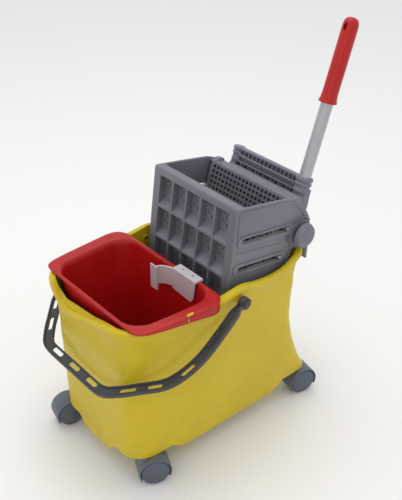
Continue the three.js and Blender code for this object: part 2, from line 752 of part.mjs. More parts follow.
// ---------------------------------------------------------------- lever
function yokeArm(sx) {
  const hub = new THREE.Vector3(0, SHAFT[0], SHAFT[1]).applyMatrix4(wringerFrame());
  const outline = [
    [hub.y - 13, hub.z + 14], [hub.y + 15, hub.z + 2], [hub.y + 31, hub.z + 38], [287, 436],
    [291, 450], [282, 452], [267, 438], [hub.y + 3, hub.z + 38],
  ];
  const [x0, x1] = YOKE_ARM[sx > 0 ? 1 : 0];
  const arm = join(prismX(outline, x0, x1), rodX(x0, x1, hub.y, hub.z, 20, 22));
  return cut(arm, rodX(x0 - 4, x1 + 4, hub.y, hub.z, SHAFT_R + 0.3, 18));
}

// round post with flared collars at one end of the beam
function yokePost(side) {
  const k = POST_SCALE[side];
  const post = turned([
    [0, BEAM_FOOT - 1], [11.5, BEAM_FOOT - 1], [13.4, -27], [13.4, -20], [15, -18], [15, -14], [13.6, -12],
    [13.6, -7], [15.8, -5], [15.8, -2], [14, 0], [16.2, 3], [16.2, BEAM_TOP], [0, BEAM_TOP + 0.5],
  ].map(([r, h]) => [r * k, h]), 14);
  return post.translate(POST_X[side], 0, 0);
}

// beam in the tube's own frame, centred between the cheeks
function yokeBeam() {
  const [from, end] = POST_X;
  const parts = [
    block(from, end, -6.5, 6.5, 3, BEAM_TOP), block(from, end, -8, 6, -9, -5),
    block(from, end, -6, 6, -20, -16.5), block(from, end, -6, 6, BEAM_FOOT, BEAM_FOOT + 4),
    block(from, end, 1, 4, BEAM_FOOT, BEAM_TOP), yokePost(0), yokePost(1),
  ];
  for (let i = 1; i < 12; i += 1) {
    const x = from + i * 14;
    parts.push(block(x - 1.2, x + 1.2, -5, 2, -6, 4));
  }
  for (let i = 0; i < 8; i += 1) {
    const x0 = from + 7 + i * 18;
    const [low, high] = i % 2 === 0 ? [BEAM_FOOT + 2, -18] : [-18, BEAM_FOOT + 2];
    parts.push(prismY([[x0, low], [x0 + 3, low], [x0 + 21, high], [x0 + 18, high]], -5, 2));
  }
  return join(...parts).applyMatrix4(tubeMatrix(0));
}

function yoke() {
  const body = join(yokeBeam(), yokeArm(-1), yokeArm(1));
  return cut(body, rodZ(0, 0, -10.4, 60, TUBE_R + 0.4, 18).applyMatrix4(tubeMatrix(TUBE_FOOT[0])));
}

function tubeMatrix(x) {
  const m = new THREE.Matrix4().makeRotationX(-THREE.MathUtils.degToRad(TUBE_LEAN));
  return m.setPosition(x, TUBE_FOOT[1], TUBE_FOOT[2]);
}

function leverTube() {
  return turned([
    [TUBE_R, -10], [TUBE_R, TUBE_LEN], [TUBE_R - 1.5, TUBE_LEN], [TUBE_R - 1.5, -10], [TUBE_R, -10],
  ], 18);
}

// moulded grip, closed at the top, with an oval hole to hang it by
function leverGrip() {
  const top = GRIP_TOP;
  const foot = top - GRIP_LEN;
  const body = turned([
    [0, top], [6, top - 0.8], [11, top - 4], [13.4, top - 9], [GRIP_R, top - 20], [GRIP_R, foot + 22],
    [GRIP_R + 0.8, foot + 10], [GRIP_R + 2.6, foot + 3], [GRIP_R + 2.2, foot], [TUBE_R + 0.3, foot],
    [TUBE_R + 0.3, TUBE_LEN + 0.4], [0, TUBE_LEN + 0.4],
  ], 20);
  return cut(body, block(-3, 3, -20, 20, top - 20, top - 13),
    rodY(0, -20, 20, top - 20, 3, 12), rodY(0, -20, 20, top - 13, 3, 12));
}

// ---------------------------------------------------------------- assembly
function piece(name, geometry, material) {
  const mesh = new THREE.Mesh(geometry, material);
  mesh.name = name;
  return mesh;
}

function casterGroup(name, x, y, heading) {
  const caster = new THREE.Group();
  caster.position.set(x, y, 0);
  caster.rotation.z = THREE.MathUtils.degToRad(heading);
  caster.add(piece(`caster_hood_${name}`, casterHood(), GREY()));
  caster.add(piece(`caster_stem_${name}`, casterStem(), STEEL()));
  caster.add(piece(`caster_axle_${name}`, casterAxle(), STEEL()));
  caster.add(piece(`caster_wheel_a_${name}`, casterWheel(1), WHEEL_GREY()));
  caster.add(piece(`caster_wheel_b_${name}`, casterWheel(-1), WHEEL_GREY()));
  return caster;
}

function wringerGroup() {
  const wringer = new THREE.Group();
  wringer.position.set(...WRINGER_AT);
  wringer.rotation.x = -THREE.MathUtils.degToRad(WRINGER_TILT);
  wringer.add(piece('wringer_body', wringerBody(), GREY()));
  wringer.add(piece('lever_shaft', leverShaft(), STEEL()));
  wringer.add(piece('cam_arm_right', camArm(1), GREY()));
  wringer.add(piece('cam_arm_left', camArm(-1), GREY()));
  wringer.add(piece('hub_cap_right', hubCap(1), GREY()));
  wringer.add(piece('hub_cap_left', hubCap(-1), GREY()));
  const plate = new THREE.Group();
  plate.position.set(0, ...PLATE_AT);
  plate.rotation.x = -THREE.MathUtils.degToRad(PLATE_TILT);
  plate.add(piece('press_plate', pressPlate().translate(0, -4.6, 0), GREY()));
  plate.add(piece('guide_rod_upper', guideRod(), STEEL()));
  plate.add(piece('guide_rod_lower', guideRod().translate(0, 0, -ROD_GAP), STEEL()));
  wringer.add(plate);
  return wringer;
}

function leverGroup() {
  const lever = new THREE.Group();
  lever.position.set(...TUBE_FOOT);
  lever.rotation.x = -THREE.MathUtils.degToRad(TUBE_LEAN);
  lever.add(piece('lever_tube', leverTube(), STEEL()));
  lever.add(piece('lever_grip', leverGrip(), RED()));
  return lever;
}

const group = new THREE.Group();
group.position.y = -ORIGIN_Y;
group.add(piece('tub', tub(), YELLOW()));
group.add(piece('inner_bucket', innerBucket(), RED()));
group.add(piece('rim_holder', rimHolder(), CLEAR()));
group.add(piece('bail_handle', bail(), DARK()));
group.add(piece('bail_pin_right', bailPin(1), DARK()));
group.add(piece('bail_pin_left', bailPin(-1), DARK()));
for (const [name, x, y, heading] of CASTERS) group.add(casterGroup(name, x, y, heading));
group.add(wringerGroup());
group.add(piece('lever_yoke', yoke(), GREY()));
group.add(leverGroup());

export default group;
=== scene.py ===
"""Looks for the wheeled mop bucket with its lever wringer. Shapes are worked out in millimetres in the CAD's
design frame (symmetry plane x = 0, floor z = 0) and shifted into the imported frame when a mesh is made."""
import math

import bpy
from mathutils import Matrix, Vector


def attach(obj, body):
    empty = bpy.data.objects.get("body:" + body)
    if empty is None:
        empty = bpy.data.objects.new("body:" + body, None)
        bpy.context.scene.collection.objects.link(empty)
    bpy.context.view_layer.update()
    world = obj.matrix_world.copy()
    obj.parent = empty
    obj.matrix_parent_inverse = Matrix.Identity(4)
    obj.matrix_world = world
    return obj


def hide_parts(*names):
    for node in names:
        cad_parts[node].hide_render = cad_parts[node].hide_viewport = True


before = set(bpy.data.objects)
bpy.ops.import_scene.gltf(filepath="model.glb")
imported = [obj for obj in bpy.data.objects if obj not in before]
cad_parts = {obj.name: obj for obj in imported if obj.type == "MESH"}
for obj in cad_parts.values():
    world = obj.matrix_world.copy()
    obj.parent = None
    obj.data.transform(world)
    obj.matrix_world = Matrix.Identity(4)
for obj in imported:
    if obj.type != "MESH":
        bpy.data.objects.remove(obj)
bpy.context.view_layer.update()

ORIGIN_Y = 105.34
MM = 0.001
TO_FRAME = Matrix.Diagonal((MM, MM, MM, 1)) @ Matrix.Translation((0, -ORIGIN_Y, 0))


# ------------------------------------------------------------------ mesh helpers
def smoothstep(t):
    t = min(max(t, 0.0), 1.0)
    return t * t * (3 - 2 * t)


def spline(table, t):
    """Value at t on a smooth curve through a table of (t, value) knots."""
    if t <= table[0][0]:
        return table[0][1]
    if t >= table[-1][0]:
        return table[-1][1]
    i = next(k for k in range(1, len(table)) if t <= table[k][0])
    t0, v0 = table[i - 1]
    t1, v1 = table[i]

    def slope(k):
        if k <= 0 or k >= len(table) - 1:
            return 0.0
        (a, va), (b, vb), (c, vc) = table[k - 1], table[k], table[k + 1]
        left, right = (vb - va) / (b - a), (vc - vb) / (c - b)
        if left * right <= 0:
            return 0.0
        return 2 * left * right / (left + right)

    h = t1 - t0
    s = (t - t0) / h
    m0, m1 = slope(i - 1) * h, slope(i) * h
    return ((2 * s**3 - 3 * s**2 + 1) * v0 + (s**3 - 2 * s**2 + s) * m0
            + (3 * s**2 - 2 * s**3) * v1 + (s**3 - s**2) * m1)


def curve(points, steps):
    """Smooth polyline through points of any dimension."""
    out = []
    n = len(points)
    for i in range(n - 1):
        p0, p1, p2, p3 = points[max(i - 1, 0)], points[i], points[i + 1], points[min(i + 2, n - 1)]
        for k in range(steps):
            s = k / steps
            out.append(tuple(
                0.5 * (2 * b + (c - a) * s + (2 * a - 5 * b + 4 * c - d) * s * s
                       + (3 * b - a - 3 * c + d) * s**3)
                for a, b, c, d in zip(p0, p1, p2, p3)))
    out.append(tuple(points[-1]))
    return out


class Solid:
    """A bag of vertices and faces in millimetres."""

    def __init__(self, verts=(), faces=()):
        self.verts = [Vector(v) for v in verts]
        self.faces = [tuple(f) for f in faces]

    def add(self, other):
        base = len(self.verts)
        self.verts += other.verts
        self.faces += [tuple(i + base for i in f) for f in other.faces]
        return self

    def moved(self, matrix):
        flip = matrix.determinant() < 0
        faces = [f[::-1] for f in self.faces] if flip else self.faces
        return Solid([matrix @ v for v in self.verts], faces)


def gather(*solids):
    out = Solid()
    for s in solids:
        out.add(s)
    return out


def box(x0, x1, y0, y1, z0, z1):
    v = [(x, y, z) for x in (x0, x1) for y in (y0, y1) for z in (z0, z1)]
    f = [(0, 1, 3, 2), (4, 6, 7, 5), (0, 4, 5, 1), (2, 3, 7, 6), (0, 2, 6, 4), (1, 5, 7, 3)]
    return Solid(v, f)


def loft(rings, ends=True):
    n = len(rings[0])
    faces = []
    for k in range(len(rings) - 1):
        for i in range(n):
            a, b = k * n + i, k * n + (i + 1) % n
            faces.append((a, b, b + n, a + n))
    if ends:
        faces.append(tuple(range(n))[::-1])
        last = (len(rings) - 1) * n
        faces.append(tuple(range(last, last + n)))
    return outward(Solid([p for r in rings for p in r], faces))


def outward(s):
    total = 0.0
    for f in s.faces:
        a = s.verts[f[0]]
        for i in range(1, len(f) - 1):
            total += a.dot(s.verts[f[i]].cross(s.verts[f[i + 1]]))
    if total < 0:
        s.faces = [f[::-1] for f in s.faces]
    return s


def prism(points, lo, hi, axis):
    """Flat outline extruded along axis 0, 1 or 2. Its two numbers are the other two axes, in order."""
    def at(p, d):
        v = list(p)
        v.insert(axis, d)
        return tuple(v)
    return loft([[at(p, lo) for p in points], [at(p, hi) for p in points]])


def disc(r, seg, cx=0.0, cy=0.0, start=0.0):
    return [(cx + r * math.cos(start + 2 * math.pi * i / seg),
             cy + r * math.sin(start + 2 * math.pi * i / seg))
            for i in range(seg)]


def rod(axis, lo, hi, u, v, r, seg=32):
    return prism(disc(r, seg, u, v), lo, hi, axis)


def turned(profile, seg=48):
    """Profile of (radius, height) turned about z; radius 0 ends are closed."""
    rings = [[(max(r, 1e-3) * math.cos(2 * math.pi * i / seg),
               max(r, 1e-3) * math.sin(2 * math.pi * i / seg), h)
              for i in range(seg)] for r, h in profile]
    return loft(rings)


def stadium(y0, y1, z, r, seg=24):
    pts = []
    for i in range(seg):
        a = -math.pi / 2 + (i + 0.5) / seg * 2 * math.pi
        pts.append(((y1 - r if math.cos(a) > 0 else y0 + r) + r * math.cos(a), z + r * math.sin(a)))
    return pts


def ribbon(path, width):
    """Outline of a strip of even width along a flat path."""
    left, right = [], []
    for i, (a, b) in enumerate(path):
        p, q = path[max(i - 1, 0)], path[min(i + 1, len(path) - 1)]
        d = Vector((q[0] - p[0], q[1] - p[1])).normalized()
        left.append((a - d.y * width / 2, b + d.x * width / 2))
        right.append((a + d.y * width / 2, b - d.x * width / 2))
    return left + right[::-1]


def to_object(name, solid, matrix=TO_FRAME):
    mesh = bpy.data.meshes.new(name)
    mesh.from_pydata([matrix @ v for v in solid.verts], [], solid.faces)
    mesh.update()
    obj = bpy.data.objects.new(name, mesh)
    bpy.context.scene.collection.objects.link(obj)
    return obj


def applied(obj):
    """Turns an object's modifiers into its mesh."""
    graph = bpy.context.evaluated_depsgraph_get()
    mesh = bpy.data.meshes.new_from_object(obj.evaluated_get(graph))
    obj.modifiers.clear()
    obj.data = mesh
    return obj


def boolean(obj, solid, how):
    other = to_object("tool", solid)
    mod = obj.modifiers.new("bool", "BOOLEAN")
    mod.object = other
    mod.operation = how
    mod.solver = "MANIFOLD"
    applied(obj)
    bpy.data.objects.remove(other)
    return obj


def build(name, first, adds=(), cuts=()):
    obj = to_object(name, first)
    for s in adds:
        boolean(obj, s, "UNION")
    for s in cuts:
        boolean(obj, s, "DIFFERENCE")
    return obj


def rounded(obj, width, segments=2, angle=35):
    mod = obj.modifiers.new("bevel", "BEVEL")
    mod.width = width * MM
    mod.segments = segments
    mod.limit_method = "ANGLE"
    mod.angle_limit = math.radians(angle)
    mod.use_clamp_overlap = True
    return applied(obj)


def finish(obj, material, body, nodes, angle=38):
    mesh = obj.data
    mesh.materials.clear()
    mesh.materials.append(material)
    mesh.shade_smooth()
    mesh.set_sharp_from_angle(angle=math.radians(angle))
    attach(obj, body)
    if nodes:
        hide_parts(*nodes)
    return obj


# ------------------------------------------------------------------ materials
def plastic(name, dark, light, rough=0.4, grain=0.25, edge=0.8, wear=0.18, scuff=0.12, sss=0.0, low_darkening=None):
    """Moulded plastic: slow colour drift, fine mould grain, faint scratches, paler rounded edges."""
    mat = bpy.data.materials.new(name)
    mat.use_nodes = True
    nodes, links = mat.node_tree.nodes, mat.node_tree.links
    shader = nodes["Principled BSDF"]
    coord = nodes.new("ShaderNodeTexCoord").outputs["Object"]

    def noise(scale, detail=2.0, vector=coord):
        n = nodes.new("ShaderNodeTexNoise")
        n.inputs["Scale"].default_value = scale
        n.inputs["Detail"].default_value = detail
        links.new(vector, n.inputs["Vector"])
        return n.outputs["Fac"]

    def remap(value, a, b, c, d):
        n = nodes.new("ShaderNodeMapRange")
        for i, x in enumerate((a, b, c, d)):
            n.inputs[i + 1].default_value = x
        links.new(value, n.inputs[0])
        return n.outputs[0]

    def blend(kind, fac, a, b):
        n = nodes.new("ShaderNodeMix")
        n.data_type = "RGBA"
        n.blend_type = kind
        for socket, value in ((n.inputs[0], fac), (n.inputs[6], a), (n.inputs[7], b)):
            if hasattr(value, "links"):
                links.new(value, socket)
            else:
                socket.default_value = value
        return n.outputs[2]

    def maths(op, a, b):
        n = nodes.new("ShaderNodeMath")
        n.operation = op
        n.use_clamp = True
        for socket, value in ((n.inputs[0], a), (n.inputs[1], b)):
            if hasattr(value, "links"):
                links.new(value, socket)
            else:
                socket.default_value = value
        return n.outputs[0]

    drift = remap(noise(7, 3), 0.3, 0.7, 0, 1)
    speck = remap(noise(420, 2), 0.35, 0.65, 0, 1)
    colour = blend("MIX", drift, (*dark, 1), (*light, 1))
    colour = blend("MULTIPLY", remap(noise(38, 4), 0.25, 0.75, 0.0, 0.35), colour, (0.9, 0.9, 0.92, 1))
    # darker brown patches towards the bottom: full below the first given height (metres), gone above the
    # second, at most the given strength
    if low_darkening:
        split = nodes.new("ShaderNodeSeparateXYZ")
        links.new(coord, split.inputs[0])
        low = remap(split.outputs[2], low_darkening[0], low_darkening[1], 1, 0)
        patches = maths("MULTIPLY", low, remap(noise(26, 6), 0.42, 0.7, 0, low_darkening[2]))
        colour = blend("MIX", patches, colour, (0.11, 0.095, 0.07, 1))
    bevel = nodes.new("ShaderNodeBevel")
    bevel.samples = 4
    bevel.inputs["Radius"].default_value = edge * MM
    geometry = nodes.new("ShaderNodeNewGeometry")
    dot = nodes.new("ShaderNodeVectorMath")
    dot.operation = "DOT_PRODUCT"
    links.new(bevel.outputs[0], dot.inputs[0])
    links.new(geometry.outputs["Normal"], dot.inputs[1])
    edges = maths("MULTIPLY", remap(dot.outputs["Value"], 0.995, 0.86, 0, 1),
                  remap(noise(60, 3), 0.4, 0.62, 0.2, 1))
    pale = tuple(min(1.0, c * 1.5 + 0.03) for c in light)
    colour = blend("MIX", maths("MULTIPLY", edges, wear), colour, (*pale, 1))
    stretch = nodes.new("ShaderNodeMapping")
    stretch.inputs["Rotation"].default_value = (0.5, 0.35, 0.8)
    stretch.inputs["Scale"].default_value = (18, 340, 340)
    links.new(coord, stretch.inputs["Vector"])
    scratch = maths("MULTIPLY", remap(noise(1.0, 3, stretch.outputs[0]), 0.64, 0.7, 0, 1),
                    remap(noise(9, 2), 0.5, 0.62, 0, scuff))
    colour = blend("MIX", scratch, colour, (*pale, 1))
    links.new(colour, shader.inputs["Base Color"])
    shine = maths("ADD", remap(noise(55, 4), 0.3, 0.7, rough - 0.05, rough + 0.07),
                  maths("MULTIPLY", scratch, 0.6))
    links.new(shine, shader.inputs["Roughness"])
    bump = nodes.new("ShaderNodeBump")
    bump.inputs["Strength"].default_value = grain
    bump.inputs["Distance"].default_value = 0.00012
    links.new(speck, bump.inputs["Height"])
    links.new(bevel.outputs[0], bump.inputs["Normal"])
    waves = nodes.new("ShaderNodeBump")
    waves.inputs["Strength"].default_value = 0.12
    waves.inputs["Distance"].default_value = 0.0012
    links.new(noise(24, 2), waves.inputs["Height"])
    links.new(bump.outputs[0], waves.inputs["Normal"])
    links.new(waves.outputs[0], shader.inputs["Normal"])
    shader.inputs["IOR"].default_value = 1.49
    shader.inputs["Specular IOR Level"].default_value = 0.42
    if sss:
        shader.inputs["Subsurface Weight"].default_value = sss
        shader.inputs["Subsurface Radius"].default_value = (0.006, 0.005, 0.005)
        shader.inputs["Transmission Weight"].default_value = 0.12
    return mat


def metal(name, colour, rough, along=2):
    """Drawn metal with fine lines along its length and a few smudges."""
    mat = bpy.data.materials.new(name)
    mat.use_nodes = True
    nodes, links = mat.node_tree.nodes, mat.node_tree.links
    shader = nodes["Principled BSDF"]
    coord = nodes.new("ShaderNodeTexCoord").outputs["Object"]
    stretch = nodes.new("ShaderNodeMapping")
    scale = [900, 900, 900]
    scale[along] = 9
    stretch.inputs["Scale"].default_value = scale
    links.new(coord, stretch.inputs["Vector"])
    lines = nodes.new("ShaderNodeTexNoise")
    lines.inputs["Scale"].default_value = 1
    lines.inputs["Detail"].default_value = 3
    links.new(stretch.outputs[0], lines.inputs["Vector"])
    smudge = nodes.new("ShaderNodeTexNoise")
    smudge.inputs["Scale"].default_value = 32
    smudge.inputs["Detail"].default_value = 4
    links.new(coord, smudge.inputs["Vector"])
    ramp = nodes.new("ShaderNodeMapRange")
    for i, x in enumerate((0.3, 0.7, rough - 0.08, rough + 0.1)):
        ramp.inputs[i + 1].default_value = x
    links.new(smudge.outputs["Fac"], ramp.inputs[0])
    links.new(ramp.outputs[0], shader.inputs["Roughness"])
    mix = nodes.new("ShaderNodeMix")
    mix.data_type = "RGBA"
    mix.inputs[6].default_value = (*[c * 0.86 for c in colour], 1)
    mix.inputs[7].default_value = (*[min(1, c * 1.1) for c in colour], 1)
    links.new(lines.outputs["Fac"], mix.inputs[0])
    links.new(mix.outputs[2], shader.inputs["Base Color"])
    bump = nodes.new("ShaderNodeBump")
    bump.inputs["Strength"].default_value = 0.15
    bump.inputs["Distance"].default_value = 0.00004
    links.new(lines.outputs["Fac"], bump.inputs["Height"])
    links.new(bump.outputs[0], shader.inputs["Normal"])
    shader.inputs["Metallic"].default_value = 0.75
    return mat


YELLOW = plastic("yellow_moulding", (0.58, 0.43, 0.004), (0.66, 0.50, 0.006), rough=0.4, scuff=0.06,
                 low_darkening=(0.03, 0.16, 0.18))
RED = plastic("red_moulding", (0.40, 0.006, 0.006), (0.50, 0.008, 0.008), rough=0.36, wear=0.1, scuff=0.04)
GREY = plastic("grey_moulding", (0.165, 0.168, 0.200), (0.195, 0.198, 0.234), rough=0.46, wear=0.22,
               scuff=0.08)
DARK = plastic("dark_moulding", (0.042, 0.043, 0.047), (0.058, 0.058, 0.062), rough=0.42, wear=0.12,
               scuff=0.06)
HOOD = plastic("caster_moulding", (0.12, 0.135, 0.16), (0.15, 0.165, 0.19), rough=0.46,
               low_darkening=(0.0, 0.05, 0.5))
WHEEL = plastic("wheel_moulding", (0.088, 0.105, 0.14), (0.108, 0.125, 0.165), rough=0.5,
                low_darkening=(0.0, 0.055, 0.55))
MILKY = plastic("milky_moulding", (0.60, 0.55, 0.585), (0.68, 0.63, 0.665), rough=0.36, wear=0.1,
                scuff=0.04, sss=0.35)
STEEL = metal("drawn_steel", (0.42, 0.42, 0.43), 0.36, along=0)
TUBE = metal("drawn_tube", (0.47, 0.47, 0.50), 0.46)


# ------------------------------------------------------------------ tub
TUB_SKIN = [
    (34, 114, -127, 264, 40), (37, 118, -131, 268, 42), (44, 119.4, -131.6, 280, 44),
    (58, 121, -132, 297, 46), (75, 121.7, -132.2, 288, 46), (95, 122.5, -132.5, 279, 46),
    (117, 123.5, -132.8, 270, 46), (150, 125, -133, 258.5, 46), (180, 126.3, -133.3, 251.5, 46),
    (212, 127.5, -133.6, 246.5, 45), (250, 129, -134.2, 247.5, 44), (290, 131, -135, 251, 43),
]
RIM_WALL = (135.5, -137.5, 257.5, 42)
RIM_OUT = (141.5, -143.5, 264, 47)
RIM_SIDE = [(-120, 344.6), (-100, 345.4), (36, 345.4), (50, 343.4), (72, 345.6), (98, 348.2), (122, 342),
            (147, 337), (180, 333.5), (209, 336), (229, 344), (247, 350.5), (260, 352.5)]
RIM_FRONT = [(-126, 344.6), (-113, 343), (-100, 335), (-88, 324), (-75, 314.5), (-56, 310.5), (-28, 313.5),
             (0, 319.5), (30, 327.5), (60, 335), (88, 340.5), (112, 343.5), (126, 344.6)]
BAND = 13
WALL = 3.5
PIVOT = Vector((148, 90, 321.5))            # the bail's right pivot
BOSS_X = 134.4
LUG_Y = (-33, -19)                          # lug that keys the inner bucket's slot
CREASE_SIDE = [(-121, 240), (-77, 243), (-45, 254), (10, 279), (54, 296), (92, 312), (110, 322)]
CREASE_FRONT = [(0, 197), (38, 200), (67, 212), (99, 229), (112, 238)]
STEMS = [(107, -106), (-107, -106), (107, 267), (-107, 267)]


def plan(half, front, rear, radius, rear_radius, arc=12, side=28, back=12, face=24):
    """Rounded rectangle in plan, anticlockwise from the front's right corner."""
    pts = []

    def corner(cx, cy, start, r):
        for i in range(arc + 1):
            a = start + i / arc * math.pi / 2
            pts.append((cx + r * math.cos(a), cy + r * math.sin(a)))

    def run(x0, y0, x1, y1, count):
        for i in range(1, count + 1):
            s = i / (count + 1)
            pts.append((x0 + (x1 - x0) * s, y0 + (y1 - y0) * s))

    cx, dx = half - radius, half - rear_radius
    corner(cx, front + radius, -math.pi / 2, radius)
    run(half, front + radius, half, rear - rear_radius, side)
    corner(dx, rear - rear_radius, 0, rear_radius)
    run(dx, rear, -dx, rear, back)
    corner(-dx, rear - rear_radius, math.pi / 2, rear_radius)
    run(-half, rear - rear_radius, -half, front + radius, side)
    corner(-cx, front + radius, math.pi, radius)
    run(-cx, front, cx, front, face)
    return pts


def bulged(x, y, z):
    grow = min(max((z - 60) / 260, 0), 1)
    d = (y - 30) / (150 if y < 30 else 218)
    return x * (1 - (0.0775 if y < 30 else 0.095) * d * d * grow)


def rim_height(x, y):
    side, front = spline(RIM_SIDE, y), spline(RIM_FRONT, x)
    return side + (front - side) * smoothstep((-y - 118) / 16)


def crease(x, y, z):
    """How far the wall is dished in above the line where the bail nests."""
    side = spline(CREASE_SIDE, y)
    front = spline(CREASE_FRONT, abs(x))
    line = side + (front - side) * smoothstep((-y - 108) / 22)
    fade = smoothstep((110 - y) / 50)
    return 3.0 * smoothstep((z - line) / 5) * smoothstep((345 - z) / 34) * fade


def skin_row(z, inset=0.0):
    rows = [spline([(r[0], r[k]) for r in TUB_SKIN], z) for k in range(1, 5)]
    half, front, rear, radius = rows
    return half - inset, front + inset, rear - inset, radius - inset


def tub_ring(z, row):
    half, front, rear, radius = row
    ring = []
    for x, y in plan(half, front, rear, radius, radius * 0.5):
        bx = bulged(x, y, z)
        c = crease(x, y, z)
        pull = min(1.0, abs(x) / half) ** 6
        ring.append((bx - math.copysign(c * pull, bx), y + (c * 0.9 if y < front + 6 else 0), z))
    return ring


def rim_ring(drop, row, step=0.0):
    half, front, rear, radius = row
    out = []
    for x, y in plan(half - step, front + step, rear - step, radius - step, radius * 0.5 - step * 0.5):
        bx = bulged(x, y, 345)
        out.append((bx, y, rim_height(x, y) - drop))
    return out


def pod_space(sx, sy, grow):
    edge = -50 if sy < 0 else 227
    reach = -260 if sy < 0 else 420

    def ring(z, ax, ay):
        x = sx * (56 - ax - grow)
        y = edge - sy * (ay + grow)
        bend = [(x + sx * 30 * (1 - math.cos(t)), y + sy * 30 * (1 - math.sin(t)), z)
                for t in (0.0, 0.39, 0.785, 1.18, math.pi / 2)]
        return [(x, reach, z)] + bend + [(sx * 260, y, z), (sx * 260, reach, z)]

    rows = [(20, 22, 32), (38, 20, 28), (42, 16.5, 23), (46, 10, 15), (50, 6, 9.5), (54 + grow, 3, 5),
            (56.6 + grow, 1, 2),
            (58 + grow, 0, 0)]
    return loft([ring(*r) for r in rows])


def tub():
    levels = [34, 35, 37, 40, 44, 50, 54, 58, 62, 66, 72,
              78] + list(range(86, 190, 8)) + list(range(192, 302, 3))
    rings = [tub_ring(z, skin_row(z)) for z in levels]
    for s in (0.2, 0.45, 0.7, 0.88):
        rings.append([tuple(a + (b - a) * s for a, b in zip(p, q))
                      for p, q in zip(rings[len(levels) - 1], rim_ring(BAND + 1.5, RIM_WALL))])
    rings.append(rim_ring(BAND + 1.5, RIM_WALL))
    for drop, step in ((BAND + 0.4, 3.4), (BAND - 0.8, 1.2), (BAND - 2.6, 0.2), (BAND - 5, 0), (5.4, 0),
                       (3.2, 0.5), (1.6, 1.6), (0.5, 3.2), (0, 5.2), (0.2, 8),
                       (1.0, 13)):
        rings.append(rim_ring(drop, RIM_OUT, step))
    body = loft(rings)
    inner_levels = [38, 44, 50, 58, 66, 75, 86] + list(range(95, 190, 15)) + list(range(192, 302, 5))
    inner = [tub_ring(z, skin_row(z, WALL)) for z in inner_levels]
    wall = tuple(v + d for v, d in zip(RIM_WALL, (-5, 5, -5, -4)))
    inner.append(tub_ring(318, wall))
    inner.append(tub_ring(400, tuple(v + d for v, d in zip(RIM_WALL, (-4, 4, -4, -4)))))
    obj = to_object("tub_shell", body)
    hollow = to_object("tub_hollow", loft(inner))
    for sx, sy in ((1, -1), (-1, -1), (1, 1), (-1, 1)):
        boolean(obj, pod_space(sx, sy, 0), "DIFFERENCE")
        boolean(hollow, pod_space(sx, sy, WALL), "DIFFERENCE")
    bosses = gather(*[rod(2, 50, 84, x, y, 9.5, 32) for x, y in STEMS])
    boolean(hollow, bosses, "DIFFERENCE")
    mod = obj.modifiers.new("bool", "BOOLEAN")
    mod.object = hollow
    mod.operation = "DIFFERENCE"
    mod.solver = "MANIFOLD"
    applied(obj)
    bpy.data.objects.remove(hollow)
    boolean(obj, gather(*[rod(2, 50, 80, x, y, 5.6, 28) for x, y in STEMS]), "DIFFERENCE")
    boolean(obj, box(136.5, 146.9, *LUG_Y, 337, 345.6), "UNION")
    tip = [(142.1 + x * 0.8, y - 0.001) for y, x in stadium(*LUG_Y, 3, 3, 20)]
    boolean(obj, prism(tip, 338, 350.8, 2), "UNION")
    for sx in (-1, 1):
        boss = sx * BOSS_X
        boolean(obj, rod(0, boss - 7, boss + 7, PIVOT.y, PIVOT.z, 8.5, 36), "UNION")
        boolean(obj, rod(0, boss - 15, boss + 15, PIVOT.y, PIVOT.z, 4.3, 24), "DIFFERENCE")
    return obj


finish(tub(), YELLOW, "tub", ["tub"], 34)

# ------------------------------------------------------------------ inner bucket
FLANGE = [(0, -127.5), (60, -127.5), (104, -127.4), (119, -126.8), (130, -123.6), (136.4, -117),
          (139.5, -108), (141.8, -94), (144.2, -75), (147, -45), (150, -10), (151.5, 10), (151.4, 22),
          (149, 32), (144, 39.5), (136, 45), (124, 48.2), (100, 48.5), (50, 48.5),
          (0, 48.5)]
INNER_CAVITY = [(112, 88, -95, 15, 22), (113.4, 93, -98, 19, 26), (116, 97, -102, 23, 29),
                (235, 110, -110.5, 32, 31), (338, 122, -118, 39.5, 33), (343, 123.4, -118.7, 40, 33.5),
                (346.5, 125.4, -119.7, 40.8, 34), (349, 128.2, -121.2, 42, 35.6),
                (350.2, 131.5, -122.8, 43.3, 37.4),
                (353, 133, -123.6, 44, 38)]


def inner_ring(row, grow=0.0, drop=0.0):
    z, half, front, rear, radius = row
    out = []
    for x, y in plan(half + grow, front - grow, rear + grow, radius + grow, radius + grow, 14, 14, 10, 14):
        d = max(0, 30 - y) / 150
        out.append((x * (1 - 0.08 * d * d), y, z - drop))
    return out


def flange_outline(step):
    right = curve(FLANGE[1:-1], 5)
    cy = -39.5
    pts = right + [(-x, y) for x, y in right[::-1]]
    return [(x * (1 - step / 150), cy + (y - cy) * (1 - step / 88)) for x, y in pts]


